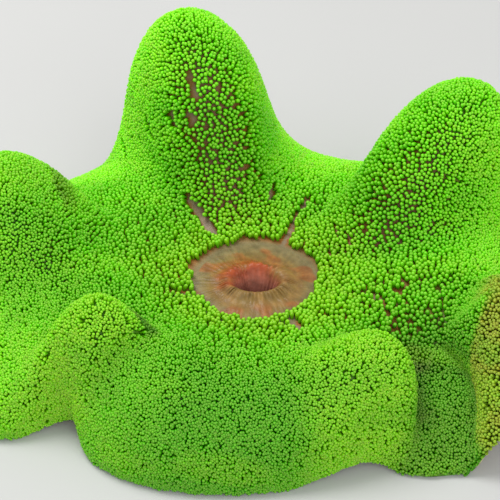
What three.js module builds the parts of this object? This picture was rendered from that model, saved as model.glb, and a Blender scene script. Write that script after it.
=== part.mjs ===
// Green carpet anemone, life size: a short column on a round foot carries a wide
// fleshy disc, which stands up in folds and hangs down in lobes around the mouth.
// Millimetres, +Z up, origin at the centre of the foot's underside, -Y is the front.
import * as THREE from 'three';

// ---- driving dimensions ----------------------------------------------------
const GAP = 0.3; // room left between neighbouring solids
const MOUTH_HEIGHT = 42; // skin level round the mouth
const BARE_RADIUS = 31; // bare skin round the mouth, inside the first tentacles
const COAT_INNER = 5; // length of the tentacles beside the bare skin
const COAT_MARGIN = 4; // and at the margin
const FLESH_INNER = 8; // thickness of the flesh under the coat, beside the mouth
const FLESH_MARGIN = 4.5; // and at the margin
const CREST_SHARE = 0.68; // where a crest lies, as a share of the way to the margin
const STEEP_SHARE = 0.62; // where the flanks are at their full steepness
const FADE_SHARE = 0.78; // where that steepness starts to fade towards the margin
const FADE_AMOUNT = 0.8; // how much of it is gone at the margin itself
const LEAD = 0.9; // how long a profile keeps its slope at the mouth and at the margin
const CREST_LEAD = 1.1; // and beyond its crest

// One profile for each fold or lobe, counter-clockwise from the right. root is its
// bearing at the bare ring, in degrees from +X; crest and rim are [bearing, reach
// from the mouth, height]. turn gives the slopes at crest and rim in degrees. hold is
// the share of the run to the crest that stays level, narrow above 1 keeps it
// narrower than its neighbours, and steep is how upright the flank after it stands,
// from 0 to 1.
const FOLD = { turn: [0, -105], hold: 0.05, narrow: 1, steep: 0.3 };
const LOBE = { turn: [-15, -70], hold: 0, narrow: 1, steep: 0.3 };
const profile = (base, name, root, crest, rim, own = {}) => (
  { ...base, name, root, crest, rim, ...own }
);
const PROFILES = [
  profile(LOBE, 'lobe_right', 7, [7, 118, 44], [7, 160, 0], { turn: [-25, -70], hold: 0.2 }),
  profile(FOLD, 'fold_back_right', 34, [35, 136, 106], [35, 149, 76],
    { narrow: 2.2, steep: 0.7 }),
  profile(LOBE, 'lobe_back', 68, [68, 98, 42], [66, 134, 12], { steep: 0.5 }),
  profile(FOLD, 'fold_back_left', 106, [107, 121, 125], [108, 133, 90],
    { narrow: 1.45, steep: 0.6 }),
  profile(LOBE, 'lobe_back_left', 133, [134, 118, 38], [133, 150, 12], { steep: 0.9 }),
  profile(FOLD, 'fold_left', 164, [164, 139, 84], [165, 151, 48], { hold: 0.35, narrow: 2.4 }),
  profile(LOBE, 'lobe_left', 192, [195, 98, 42], [203, 150, 0],
    { turn: [-15, -75], steep: 0.1 }),
  profile(FOLD, 'fold_front_left', 214, [206, 83, 65], [212, 106, 8],
    { turn: [0, -95], hold: 0.55, narrow: 1.3, steep: 0.5 }),
  profile(LOBE, 'lobe_front_left', 238, [232, 70, 45], [228, 110, 0],
    { turn: [-15, -85], steep: 0.1 }),
  profile(LOBE, 'lobe_front', 266, [264, 64, 40], [266, 98, 0], { turn: [-20, -80] }),
  profile(FOLD, 'fold_front_right', 302, [316, 71, 51], [301, 97, 8],
    { turn: [0, -95], hold: 0.55, narrow: 1.1, steep: 1 }),
  profile(LOBE, 'lobe_front_right', 325, [329, 94, 28], [314, 122, 0],
    { turn: [-25, -60], steep: 1 }),
  profile(FOLD, 'fold_right', 352, [346, 120, 64], [330, 144, 24],
    { turn: [0, -110], hold: 0.8, narrow: 2, steep: 0.5 }),
];

// Facets: columns along the margin of each fold or lobe, rows from mouth to margin.
const COLUMNS = 10;
const ROWS = 12;
const STEP_U = 0.5 / COLUMNS; // steps used to measure slopes and bends
const STEP_S = 0.5 / ROWS;

// A crease leaves little room for coat or flesh: they thin towards it.
const CREASE_FILL = 0.4; // share of a bend's radius that they may take
const CREASE_SPREAD = 0.32; // how fast they thicken again away from it
const CREASE_PASSES = 20;
const RIM_BULGE = 0.35; // how far the margin is rounded, as a share of its thickness

// Mouth: an oval opening in the bare skin, between two lips.
const LIP = { reach: [15.2, 9.8], height: 45.2, half: [2.9, 1.8], corner: 1.6 };
const PIT = { mouth: [17.5, 12], wall: [13, 7.5], floor: [10, 5], depth: 5.5 };

// Column and foot.
const COLUMN_TOP = MOUTH_HEIGHT - FLESH_INNER - 0.5;
const FOOT_HEIGHT = 6;
const ROUND_STEPS = 40;

// ---- small helpers -----------------------------------------------------------
const { smoothstep, lerp, degToRad, clamp } = THREE.MathUtils;
const TURN = 2 * Math.PI;

function hermite(start, startSlope, end, endSlope, t) {
  const t2 = t * t;
  const t3 = t2 * t;
  return (2 * t3 - 3 * t2 + 1) * start + (t3 - 2 * t2 + t) * startSlope
    + (3 * t2 - 2 * t3) * end + (t3 - t2) * endSlope;
}

// Goes from 0 to 1 with t, but lingers at one half, so that a wall stands upright there.
const meander = (t, amount) => t + (amount / TURN) * Math.sin(TURN * t);

// ---- the skin of the disc ------------------------------------------------------
// A profile at a share s of the way from the bare ring, s = 0, to the margin, s = 1.
function profileAt(shape, s) {
  const [crestBearing, crestReach, crestHeight] = shape.crest;
  const [rimBearing, rimReach, rimHeight] = shape.rim;
  const rise = Math.hypot(crestReach - BARE_RADIUS, crestHeight - MOUTH_HEIGHT);
  const fall = Math.hypot(rimReach - crestReach, rimHeight - crestHeight);
  const [crestTurn, rimTurn] = shape.turn.map(degToRad);
  const drift = 0.5 * ((crestBearing - shape.root) / CREST_SHARE
    + (rimBearing - crestBearing) / (1 - CREST_SHARE));
  if (s < CREST_SHARE) {
    const t = s / CREST_SHARE;
    const level = 1 - shape.hold;
    const climb = clamp((t - shape.hold) / level, 0, 1);
    const tangent = rise * LEAD;
    return {
      bearing: hermite(shape.root, 0, crestBearing, drift * CREST_SHARE, t),
      reach: hermite(BARE_RADIUS, tangent, crestReach, tangent * Math.cos(crestTurn), t),
      height: hermite(MOUTH_HEIGHT, 0, crestHeight, tangent * Math.sin(crestTurn) * level, climb),
    };
  }
  const t = (s - CREST_SHARE) / (1 - CREST_SHARE);
  const over = fall * CREST_LEAD;
  const down = fall * LEAD;
  return {
    bearing: hermite(crestBearing, drift * (1 - CREST_SHARE), rimBearing,
      0.5 * (rimBearing - crestBearing), t),
    reach: hermite(crestReach, over * Math.cos(crestTurn), rimReach, down * Math.cos(rimTurn), t),
    height: hermite(crestHeight, over * Math.sin(crestTurn), rimHeight,
      down * Math.sin(rimTurn), t),
  };
}

// A point of the skin: u counts the profiles round the disc, s runs out to the margin.
function skinPoint(u, s) {
  const count = PROFILES.length;
  const first = Math.floor(u);
  const t = u - first;
  const shape = (k) => PROFILES[(((first + k) % count) + count) % count];
  const [before, here, next, after] = [-1, 0, 1, 2].map((k) => {
    const at = profileAt(shape(k), s);
    at.bearing += 360 * Math.floor((first + k) / count);
    return at;
  });
  const start = 0.6 * Math.max(shape(0).hold, shape(1).hold);
  const upright = shape(0).steep * smoothstep(s, start, STEEP_SHARE)
    * (1 - FADE_AMOUNT * smoothstep(s, FADE_SHARE, 1));
  const across = meander(t, upright);
  const [reach, bearing] = ['reach', 'bearing'].map((key) => hermite(
    here[key], 0.5 * (next[key] - before[key]),
    next[key], 0.5 * (after[key] - here[key]), across,
  ));
  const fallOff = (0.5 + 0.5 * Math.cos(Math.PI * t)) ** shape(0).narrow;
  const riseTo = (0.5 - 0.5 * Math.cos(Math.PI * t)) ** shape(1).narrow;
  const share = shape(0).narrow >= shape(1).narrow ? fallOff : 1 - riseTo;
  const angle = degToRad(bearing);
  return new THREE.Vector3(
    reach * Math.cos(angle),
    reach * Math.sin(angle),
    lerp(next.height, here.height, share),
  );
}

// The skin's slopes and bends at a place: its outward normal, the way out to the margin,
// and the largest curvature towards its coat (hollow) and towards its flesh (swell).
function skinShape(u, s) {
  const at = (i, j) => skinPoint(u + i * STEP_U, s + j * STEP_S);
  const middle = at(0, 0);
  const around = at(1, 0).sub(at(-1, 0)).divideScalar(2);
  const outward = at(0, 1).sub(at(0, -1)).divideScalar(2);
  const normal = outward.clone().cross(around).normalize();
  const bendAround = at(1, 0).add(at(-1, 0)).addScaledVector(middle, -2).dot(normal);
  const bendOut = at(0, 1).add(at(0, -1)).addScaledVector(middle, -2).dot(normal);
  const twist = at(1, 1).add(at(-1, -1)).sub(at(1, -1)).sub(at(-1, 1)).dot(normal) / 4;
  const [e, f, g] = [around.lengthSq(), around.dot(outward), outward.lengthSq()];
  const area = e * g - f * f;
  const mean = (e * bendOut - 2 * f * twist + g * bendAround) / (2 * area);
  const spread = Math.sqrt(Math.max(0, mean * mean - (bendAround * bendOut - twist * twist) / area));
  return { normal, along: outward.normalize(), hollow: mean + spread, swell: spread - mean };
}

// The whole disc as columns of places, each with its outward normal and its wall
// direction, which points across the column towards the next one.
function skinGrid() {
  const room = (bend) => (bend > 0 ? CREASE_FILL / bend : Infinity);
  const grid = [];
  for (let column = 0; column < PROFILES.length * COLUMNS; column += 1) {
    const u = column / COLUMNS - 0.5;
    const places = [];
    for (let row = 0; row <= ROWS; row += 1) {
      const share = row / ROWS;
      const { normal, along, hollow, swell } = skinShape(u, clamp(share, STEP_S, 1 - STEP_S));
      const flesh = lerp(FLESH_INNER, FLESH_MARGIN, smoothstep(share, 0, 1));
      places.push({
        point: skinPoint(u, share),
        normal,
        along,
        wall: normal.clone().cross(along).normalize(),
        coat: Math.min(lerp(COAT_INNER, COAT_MARGIN, share), room(hollow)),
        flesh: Math.min(flesh, room(swell)),
      });
    }
    grid.push(places);
  }
  return grid;
}

// Lets coat and flesh grow only gradually away from where a crease has thinned them.
function easeCreases(grid) {
  for (let pass = 0; pass < CREASE_PASSES; pass += 1) {
    grid.forEach((places, column) => {
      const next = grid[(column + 1) % grid.length];
      const last = grid[(column + grid.length - 1) % grid.length];
      places.forEach((place, row) => {
        const near = [next[row], last[row], places[row - 1], places[row + 1]];
        near.filter(Boolean).forEach((other) => {
          const spread = CREASE_SPREAD * place.point.distanceTo(other.point);
          place.coat = Math.min(place.coat, other.coat + spread);
          place.flesh = Math.min(place.flesh, other.flesh + spread);
        });
      });
    });
  }
}

// ---- meshes ----------------------------------------------------------------------
function meshOf(name, points, faces, material) {
  const geometry = new THREE.BufferGeometry();
  const positions = points.flatMap((point) => [point.x, point.y, point.z]);
  geometry.setAttribute('position', new THREE.Float32BufferAttribute(positions, 3));
  geometry.setIndex(faces.flat());
  geometry.computeVertexNormals();
  const mesh = new THREE.Mesh(geometry, material);
  mesh.name = name;
  return mesh;
}

// Faces between closed loops of size points each, laid end to end in one list.
function bandFaces(loops, size) {
  const faces = [];
  for (let loop = 0; loop < loops - 1; loop += 1) {
    for (let k = 0; k < size; k += 1) {
      const a = loop * size + k;
      const b = loop * size + (k + 1) % size;
      faces.push([a, b, b + size], [a, b + size, a + size]);
    }
  }
  return faces;
}

// A closed body of rings from bottom to top, counter-clockwise, with flat or dished ends.
function ringBody(name, rings, ends, material) {
  const size = rings[0].length;
  const points = [...rings.flat(), ...ends];
  const faces = bandFaces(rings.length, size);
  const bottom = points.length - 2;
  const last = (rings.length - 1) * size;
  for (let k = 0; k < size; k += 1) {
    faces.push([bottom, (k + 1) % size, k]);
    faces.push([bottom + 1, last + k, last + (k + 1) % size]);
  }
  return meshOf(name, points, faces, material);
}

// One fold or lobe of the disc: coat on top, flesh below, with a rounded margin.
function foldBody(grid, index, material) {
  const loops = [];
  for (let k = 0; k <= COLUMNS; k += 1) {
    const places = grid[(index * COLUMNS + k) % grid.length];
    const inset = { 0: GAP / 2, [COLUMNS]: -GAP / 2 }[k] ?? 0;
    const shifted = (place, lift) => {
      const point = place.point.clone().addScaledVector(place.normal, lift);
      return point.addScaledVector(place.wall, inset);
    };
    const top = places.map((place) => shifted(place, place.coat));
    const under = places.map((place) => shifted(place, -place.flesh));
    const rim = places[ROWS];
    const bulge = RIM_BULGE * (rim.coat + rim.flesh);
    const edge = top[ROWS].clone().lerp(under[ROWS], 0.5).addScaledVector(rim.along, bulge);
    loops.push([...top, edge, ...under.reverse()]);
  }
  const size = loops[0].length;
  const points = loops.flat();
  points.forEach((point) => { point.z = Math.max(point.z, 0); });
  const faces = bandFaces(loops.length, size);
  const last = COLUMNS * size;
  const cap = (a, b, c) => faces.push([a, c, b], [last + a, last + b, last + c]);
  for (let row = 0; row < ROWS; row += 1) {
    const low = size - 1 - row;
    cap(row, row + 1, low - 1);
    cap(row, low - 1, low);
  }
  cap(ROWS, ROWS + 1, ROWS + 2);
  return meshOf(PROFILES[index].name, points, faces, material);
}

// A ring of points: half widths in x and y, height, and a wave of the outline.
function ring([halfX, halfY], height, wave = () => 1) {
  return Array.from({ length: ROUND_STEPS }, (_, k) => {
    const angle = (TURN * k) / ROUND_STEPS;
    const grow = wave(angle);
    return new THREE.Vector3(grow * halfX * Math.cos(angle), grow * halfY * Math.sin(angle), height);
  });
}
const round = (radius) => [radius, radius];
const onAxis = (height) => new THREE.Vector3(0, 0, height);

// Half of the lip: an oval tube round one side of the mouth, from corner to corner.
function lipBody(name, side, material) {
  const steps = 14;
  const sides = 8;
  const start = LIP.corner / LIP.reach[0];
  const loops = [];
  for (let k = 0; k <= steps; k += 1) {
    const angle = lerp(start, Math.PI - start, k / steps);
    const plump = 0.55 + 0.45 * Math.sin(angle) ** 0.5;
    const out = new THREE.Vector2(Math.cos(angle) / LIP.reach[0], Math.sin(angle) / LIP.reach[1]);
    out.normalize();
    for (let j = 0; j < sides; j += 1) {
      const turn = (TURN * j) / sides;
      const away = plump * LIP.half[0] * Math.cos(turn);
      loops.push(new THREE.Vector3(
        LIP.reach[0] * Math.cos(angle) + out.x * away,
        side * (LIP.reach[1] * Math.sin(angle) + out.y * away),
        LIP.height + plump * LIP.half[1] * Math.sin(turn),
      ));
    }
  }
  const faces = bandFaces(steps + 1, sides);
  const last = steps * sides;
  for (let j = 1; j < sides - 1; j += 1) {
    faces.push([0, j + 1, j], [last, last + j, last + j + 1]);
  }
  const outward = side > 0 ? faces.map(([a, b, c]) => [a, c, b]) : faces;
  return meshOf(name, loops, outward, material);
}

// ---- materials ---------------------------------------------------------------------
const flesh = (color, roughness) => new THREE.MeshStandardMaterial({ color, roughness, metalness: 0 });
const GREEN = flesh(0x4fb81e, 0.45);
const OLIVE = flesh(0x7f8f36, 0.5);
const BARE_SKIN = flesh(0xa07a66, 0.4);
const LIP_RED = flesh(0xc0654a, 0.35);
const THROAT_PALE = flesh(0xe6cfc4, 0.35);
const COLUMN_TAN = flesh(0xc3ab86, 0.5);

// ---- the parts ---------------------------------------------------------------------
const anemone = new THREE.Group();

const grid = skinGrid();
easeCreases(grid);
PROFILES.forEach((shape, index) => {
  anemone.add(foldBody(grid, index, shape.name === 'fold_right' ? OLIVE : GREEN));
});

const discUnderside = MOUTH_HEIGHT - FLESH_INNER;
const pitFloor = MOUTH_HEIGHT - PIT.depth;
anemone.add(ringBody('mouth_disc', [
  ring(round(BARE_RADIUS - GAP), discUnderside),
  ring(round(BARE_RADIUS - GAP), MOUTH_HEIGHT),
  ring(round(24), MOUTH_HEIGHT + 0.9),
  ring(PIT.mouth, MOUTH_HEIGHT + 1.6),
  ring(PIT.wall, MOUTH_HEIGHT - 2),
  ring(PIT.floor, pitFloor),
], [onAxis(discUnderside), onAxis(pitFloor)], BARE_SKIN));

anemone.add(ringBody('throat', [
  ring([9.5, 4.5], pitFloor + 0.5),
  ring([12.1, 6.7], pitFloor + 3.1),
], [onAxis(pitFloor + 0.5), onAxis(pitFloor + 2.2)], THROAT_PALE));

anemone.add(lipBody('lip_back', 1, LIP_RED));
anemone.add(lipBody('lip_front', -1, LIP_RED));

const outlineWave = (angle) => 1 + 0.04 * Math.cos(3 * angle + 0.6) + 0.025 * Math.cos(5 * angle + 2);
const softWave = (angle) => 1 + 0.5 * (outlineWave(angle) - 1);
anemone.add(ringBody('column', [
  ring(round(47), FOOT_HEIGHT + GAP, outlineWave),
  ring(round(43), 8.5, outlineWave),
  ring(round(36), 13, softWave),
  ring(round(33), 19, softWave),
  ring(round(33.5), 25, softWave),
  ring(round(36), 30, softWave),
  ring(round(38), COLUMN_TOP),
], [onAxis(FOOT_HEIGHT + GAP), onAxis(COLUMN_TOP)], COLUMN_TAN));

anemone.add(ringBody('pedal_disc', [
  ring(round(51), 0, outlineWave),
  ring(round(52), 3, outlineWave),
  ring(round(49), FOOT_HEIGHT, outlineWave),
], [onAxis(0), onAxis(FOOT_HEIGHT)], COLUMN_TAN));

export default anemone;
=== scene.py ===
"""Green carpet anemone, life size: one skin over the folded disc, mouth, column and foot,
a coat of blunt tentacles on the disc, and rows of warts under its margin.

Shapes are worked out in millimetres and turned to metres when a mesh is made. A place on
the disc is told by u, which counts the profiles round it, and s, which is 0 at the bare
ring round the mouth and 1 at the margin."""

import math
from functools import partial
from itertools import product

import bpy
import numpy as np
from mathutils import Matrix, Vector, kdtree


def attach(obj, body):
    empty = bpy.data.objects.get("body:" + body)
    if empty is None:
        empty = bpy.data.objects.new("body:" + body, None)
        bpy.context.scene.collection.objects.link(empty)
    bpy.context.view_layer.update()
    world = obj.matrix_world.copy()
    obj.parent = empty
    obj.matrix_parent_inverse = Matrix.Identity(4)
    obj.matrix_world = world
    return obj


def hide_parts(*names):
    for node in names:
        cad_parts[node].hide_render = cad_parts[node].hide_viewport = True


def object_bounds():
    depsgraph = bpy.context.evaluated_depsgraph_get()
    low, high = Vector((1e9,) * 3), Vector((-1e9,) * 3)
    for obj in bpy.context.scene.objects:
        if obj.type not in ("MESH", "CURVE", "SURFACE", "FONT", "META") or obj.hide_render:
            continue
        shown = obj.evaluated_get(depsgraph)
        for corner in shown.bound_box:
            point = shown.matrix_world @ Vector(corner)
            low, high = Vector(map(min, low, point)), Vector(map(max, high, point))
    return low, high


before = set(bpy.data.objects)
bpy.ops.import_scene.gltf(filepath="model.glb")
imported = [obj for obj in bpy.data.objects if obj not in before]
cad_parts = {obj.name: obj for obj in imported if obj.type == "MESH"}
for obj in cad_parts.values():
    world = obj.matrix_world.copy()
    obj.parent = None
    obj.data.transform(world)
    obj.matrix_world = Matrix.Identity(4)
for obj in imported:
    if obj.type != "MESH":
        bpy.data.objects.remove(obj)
cad_low, cad_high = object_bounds()

MM = 0.001
TURN = 2 * math.pi

# ---- sizes shared with the solids ----
MOUTH_HEIGHT = 42.0  # height of the bare ring above the floor
BARE_RADIUS = 31.0
COAT_INNER, COAT_MARGIN = 5.0, 4.0  # thickness of the coat of tentacles
FLESH_INNER, FLESH_MARGIN = 8.0, 4.5  # thickness of the flesh under it
CREST_SHARE = 0.68  # s at the crest of every fold
HOLD_SHARE = 0.6  # share of a profile's level stretch that has no steep flanks
STEEP_SHARE, FADE_SHARE, FADE_AMOUNT = 0.62, 0.78, 0.8  # s where flanks are steep, then soften
LEAD, CREST_LEAD = 0.9, 1.1  # how far a profile runs straight on, as a share of its rise or fall
GRID_COLUMNS, GRID_ROWS = 10, 12  # cells of the crease grid: for each profile, and along s
STEP_U, STEP_S = 0.5 / GRID_COLUMNS, 0.5 / GRID_ROWS
CREASE_FILL, CREASE_SPREAD, CREASE_PASSES = 0.4, 0.32, 20  # how layers thin in a crease
RIM_BULGE = 0.35  # how far the margin bulges, as a share of its thickness

# One row for each fold or lobe, counter-clockwise from the right, where u is 0, 1, 2 and
# so on: bearing at the bare ring, crest and rim as bearing, reach and height, slopes at
# crest and rim, the share of the way that stays level, narrowness and steepness.
PROFILES = (
    ("lobe_right", 7, (7, 118, 44), (7, 160, 0), (-25, -70), 0.2, 1, 0.3),
    ("fold_back_right", 34, (35, 136, 106), (35, 149, 76), (0, -105), 0.05, 2.2, 0.7),
    ("lobe_back", 68, (68, 98, 42), (66, 134, 12), (-15, -70), 0, 1, 0.5),
    ("fold_back_left", 106, (107, 121, 125), (108, 133, 90), (0, -105), 0.05, 1.45, 0.6),
    ("lobe_back_left", 133, (134, 118, 38), (133, 150, 12), (-15, -70), 0, 1, 0.9),
    ("fold_left", 164, (164, 139, 84), (165, 151, 48), (0, -105), 0.35, 2.4, 0.3),
    ("lobe_left", 192, (195, 98, 42), (203, 150, 0), (-15, -75), 0, 1, 0.1),
    ("fold_front_left", 214, (206, 83, 65), (212, 106, 8), (0, -95), 0.55, 1.3, 0.5),
    ("lobe_front_left", 238, (232, 70, 45), (228, 110, 0), (-15, -85), 0, 1, 0.1),
    ("lobe_front", 266, (264, 64, 40), (266, 98, 0), (-20, -80), 0, 1, 0.3),
    ("fold_front_right", 302, (316, 71, 51), (301, 97, 8), (0, -95), 0.55, 1.1, 1),
    ("lobe_front_right", 325, (329, 94, 28), (314, 122, 0), (-25, -60), 0, 1, 1),
    ("fold_right", 352, (346, 120, 64), (330, 144, 24), (0, -110), 0.8, 2, 0.5),
)
NAMES = [row[0] for row in PROFILES]
COUNT = len(PROFILES)
FIELDS = (
    "root crest_bearing crest_reach crest_height rim_bearing rim_reach rim_height "
    "crest_turn rim_turn hold narrow steep"
).split()
ROWS = [(row[1], *row[2], *row[3], *row[4], *row[5:]) for row in PROFILES]
SHAPE = dict(zip(FIELDS, np.array(ROWS, float).T))


# ---- small helpers ----
def smoothstep(x, low=0.0, high=1.0):
    """0 up to low, 1 from high, and a soft rise between."""
    t = np.clip((np.asarray(x, float) - low) / (high - low), 0, 1)
    return t * t * (3 - 2 * t)


def band(x, low, full, end, high):
    """0 up to low, 1 from full to end, and 0 again from high."""
    return smoothstep(x, low, full) * (1 - smoothstep(x, end, high))


def mix(a, b, share):
    """a where share is 0, b where it is 1."""
    return a + (b - a) * share


def hermite(start, start_slope, end, end_slope, t):
    """A smooth path from start to end with the slopes given at both."""
    t2, t3 = t * t, t * t * t
    return (
        (2 * t3 - 3 * t2 + 1) * start
        + (t3 - 2 * t2 + t) * start_slope
        + (3 * t2 - 2 * t3) * end
        + (t3 - t2) * end_slope
    )


def unit(vectors):
    """The vectors at length 1."""
    return vectors / (np.linalg.norm(vectors, axis=-1, keepdims=True) + 1e-12)


def dot(a, b):
    """The dot product of every pair of vectors."""
    return np.sum(a * b, -1)


def wander(places, scale, seed=0):
    """A smooth random field, mostly between -1 and 1, made of a few crossing waves."""
    waves, usual_peak = 7, 3.2
    maker = np.random.default_rng(seed)
    total = np.zeros(places.shape[:-1])
    for wave in range(waves):
        way = unit(maker.normal(size=3))
        pace = TURN / scale * (0.6 + 0.25 * wave)
        total += np.sin(places @ way * pace + maker.uniform(0, TURN))
    return total / usual_peak


# ---- the skin of the disc ----
def profile_at(index, s):
    """Bearing, reach and height of profile index at a share s of the way to the margin."""
    g = {name: values[index % COUNT] for name, values in SHAPE.items()}
    rise = np.hypot(g["crest_reach"] - BARE_RADIUS, g["crest_height"] - MOUTH_HEIGHT)
    fall = np.hypot(g["rim_reach"] - g["crest_reach"], g["rim_height"] - g["crest_height"])
    crest_turn, rim_turn = np.radians(g["crest_turn"]), np.radians(g["rim_turn"])
    to_crest = g["crest_bearing"] - g["root"]
    to_rim = g["rim_bearing"] - g["crest_bearing"]
    drift = 0.5 * (to_crest / CREST_SHARE + to_rim / (1 - CREST_SHARE))
    level = 1 - g["hold"]
    t = np.clip(s / CREST_SHARE, 0, 1)
    climb = np.clip((t - g["hold"]) / level, 0, 1)
    lead = rise * LEAD
    inner = (
        hermite(g["root"], 0, g["crest_bearing"], drift * CREST_SHARE, t),
        hermite(BARE_RADIUS, lead, g["crest_reach"], lead * np.cos(crest_turn), t),
        hermite(MOUTH_HEIGHT, 0, g["crest_height"], lead * np.sin(crest_turn) * level, climb),
    )
    t = np.clip((s - CREST_SHARE) / (1 - CREST_SHARE), 0, 1)
    over, down = fall * CREST_LEAD, fall * LEAD
    outer = (
        hermite(g["crest_bearing"], drift * (1 - CREST_SHARE), g["rim_bearing"], 0.5 * to_rim, t),
        hermite(g["crest_reach"], over * np.cos(crest_turn), g["rim_reach"], down * np.cos(rim_turn), t),
        hermite(g["crest_height"], over * np.sin(crest_turn), g["rim_height"], down * np.sin(rim_turn), t),
    )
    return [np.where(s < CREST_SHARE, a, b) for a, b in zip(inner, outer)]


def skin_point(u, s):
    """A point of the skin: u counts the profiles round the disc, s runs to the margin."""
    u, s = np.broadcast_arrays(np.asarray(u, float), np.asarray(s, float))
    first = np.floor(u).astype(int)
    t = u - first
    near = []
    for k in (-1, 0, 1, 2):
        bearing, reach, height = profile_at(first + k, s)
        near.append((bearing + 360 * ((first + k) // COUNT), reach, height))
    here, following = first % COUNT, (first + 1) % COUNT
    start = HOLD_SHARE * np.maximum(SHAPE["hold"][here], SHAPE["hold"][following])
    upright = SHAPE["steep"][here] * smoothstep(s, start, STEEP_SHARE)
    upright = upright * (1 - FADE_AMOUNT * smoothstep(s, FADE_SHARE, 1))
    across = t + upright / TURN * np.sin(TURN * t)
    bearing, reach = (
        hermite(
            near[1][k],
            0.5 * (near[2][k] - near[0][k]),
            near[2][k],
            0.5 * (near[3][k] - near[1][k]),
            across,
        )
        for k in (0, 1)
    )
    narrow_here, narrow_next = SHAPE["narrow"][here], SHAPE["narrow"][following]
    fall_off = (0.5 + 0.5 * np.cos(np.pi * t)) ** narrow_here
    rise_to = (0.5 - 0.5 * np.cos(np.pi * t)) ** narrow_next
    share = np.where(narrow_here >= narrow_next, fall_off, 1 - rise_to)
    height = mix(near[2][2], near[1][2], share)
    angle = np.radians(bearing)
    return np.stack([reach * np.cos(angle), reach * np.sin(angle), height], -1)


def skin_bends(u, s):
    """Normal, way to the margin, and the curvature towards coat and towards flesh, read
    one step inside the skin's ends."""
    s = np.clip(s, STEP_S, 1 - STEP_S)
    at = {
        (i, j): skin_point(u + i * STEP_U, s + j * STEP_S)
        for i in (-1, 0, 1)
        for j in (-1, 0, 1)
    }
    around = (at[1, 0] - at[-1, 0]) / 2
    outward = (at[0, 1] - at[0, -1]) / 2
    normal = unit(np.cross(outward, around))
    bend_around = dot(at[1, 0] + at[-1, 0] - 2 * at[0, 0], normal)
    bend_out = dot(at[0, 1] + at[0, -1] - 2 * at[0, 0], normal)
    twist = dot(at[1, 1] + at[-1, -1] - at[1, -1] - at[-1, 1], normal) / 4
    e, f, g = dot(around, around), dot(around, outward), dot(outward, outward)
    area = e * g - f * f
    mean = (e * bend_out - 2 * f * twist + g * bend_around) / (2 * area)
    spread = np.sqrt(np.maximum(0, mean * mean - (bend_around * bend_out - twist**2) / area))
    return normal, unit(outward), mean + spread, spread - mean


def crease_grid():
    """Thickness of coat and flesh on a coarse grid, thinned towards the creases."""
    u = (np.arange(COUNT * GRID_COLUMNS) / GRID_COLUMNS - 0.5)[:, None]
    s = (np.arange(GRID_ROWS + 1) / GRID_ROWS)[None, :]
    _, _, hollow, swell = skin_bends(u, s)
    place = skin_point(u, s)

    def room(bend):
        return np.where(bend > 0, CREASE_FILL / np.maximum(bend, 1e-9), np.inf)

    coat = np.minimum(mix(COAT_INNER, COAT_MARGIN, s), room(hollow))
    flesh = np.minimum(mix(FLESH_INNER, FLESH_MARGIN, smoothstep(s)), room(swell))
    around = CREASE_SPREAD * np.linalg.norm(np.roll(place, -1, 0) - place, axis=-1)
    along = CREASE_SPREAD * np.linalg.norm(np.diff(place, axis=1), axis=-1)
    for _ in range(2 * CREASE_PASSES):
        for layer in (coat, flesh):
            np.minimum(layer, np.roll(layer, -1, 0) + around, out=layer)
            np.minimum(layer, np.roll(layer, 1, 0) + np.roll(around, 1, 0), out=layer)
            layer[:, :-1] = np.minimum(layer[:, :-1], layer[:, 1:] + along)
            layer[:, 1:] = np.minimum(layer[:, 1:], layer[:, :-1] + along)
    return coat, flesh


COAT_GRID, FLESH_GRID = crease_grid()


def on_grid(grid, u, s):
    """The value of a crease grid at any place of the skin."""
    x = (u + 0.5) * GRID_COLUMNS
    y = np.clip(s, 0, 1) * GRID_ROWS
    i, j = np.floor(x).astype(int), np.minimum(np.floor(y).astype(int), GRID_ROWS - 1)
    fx, fy = x - i, y - j
    columns = grid.shape[0]
    low = mix(grid[i % columns, j], grid[(i + 1) % columns, j], fx)
    high = mix(grid[i % columns, j + 1], grid[(i + 1) % columns, j + 1], fx)
    return mix(low, high, fy)


RIM_SPAN = 0.04  # s from 1 to 1 + RIM_SPAN runs over the rounded margin
RIM_TURN, RIM_LEAN = math.radians(75), 0.6  # how far it turns, and how tentacles lean there
BARE_SPAN, BARE_RUN = 0.07, 100.0  # s down to -BARE_SPAN runs inwards, in mm for each unit


def coat_place(u, s):
    """Root and outward way of a tentacle, from the bare ring's edge round onto the margin."""
    inside = np.clip(s, 0, 1)
    place = skin_point(u, inside)
    normal, along, _, _ = skin_bends(u, s)
    turn = np.clip((s - 1) / RIM_SPAN, 0, 1)[:, None] * RIM_TURN
    half = 0.5 * on_grid(FLESH_GRID, u, inside)[:, None]
    bulge = 2 * half * RIM_BULGE
    place = place - normal * half * (1 - np.cos(turn)) + along * bulge * np.sin(turn)
    place = place + along * BARE_RUN * np.minimum(s, 0)[:, None]
    return place, unit(normal * np.cos(turn) + along * np.sin(turn) * RIM_LEAN)


# Bare streaks among the tentacles: u and s at both ends, and half the width.
STREAKS = (
    (3.53, 0.27, 3.50, 0.1, 1.9), (1.97, 0.38, 1.92, 0.0, 0.6), (2.36, 0.34, 2.36, 0.27, 1.0),
    (3.10, 0.50, 3.08, 0.44, 0.9), (3.46, 0.61, 3.50, 0.56, 0.8), (3.30, 0.49, 3.32, 0.44, 0.8),
    (3.16, 0.42, 3.17, 0.39, 0.9), (3.62, 0.80, 3.74, 0.70, 0.8), (10.0, 0.13, 9.97, 0.0, 1.4),
    (11.9, 0.25, 12.1, 0.18, 0.9), (5.9, 0.12, 6.1, 0.0, 0.9),
)


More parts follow.
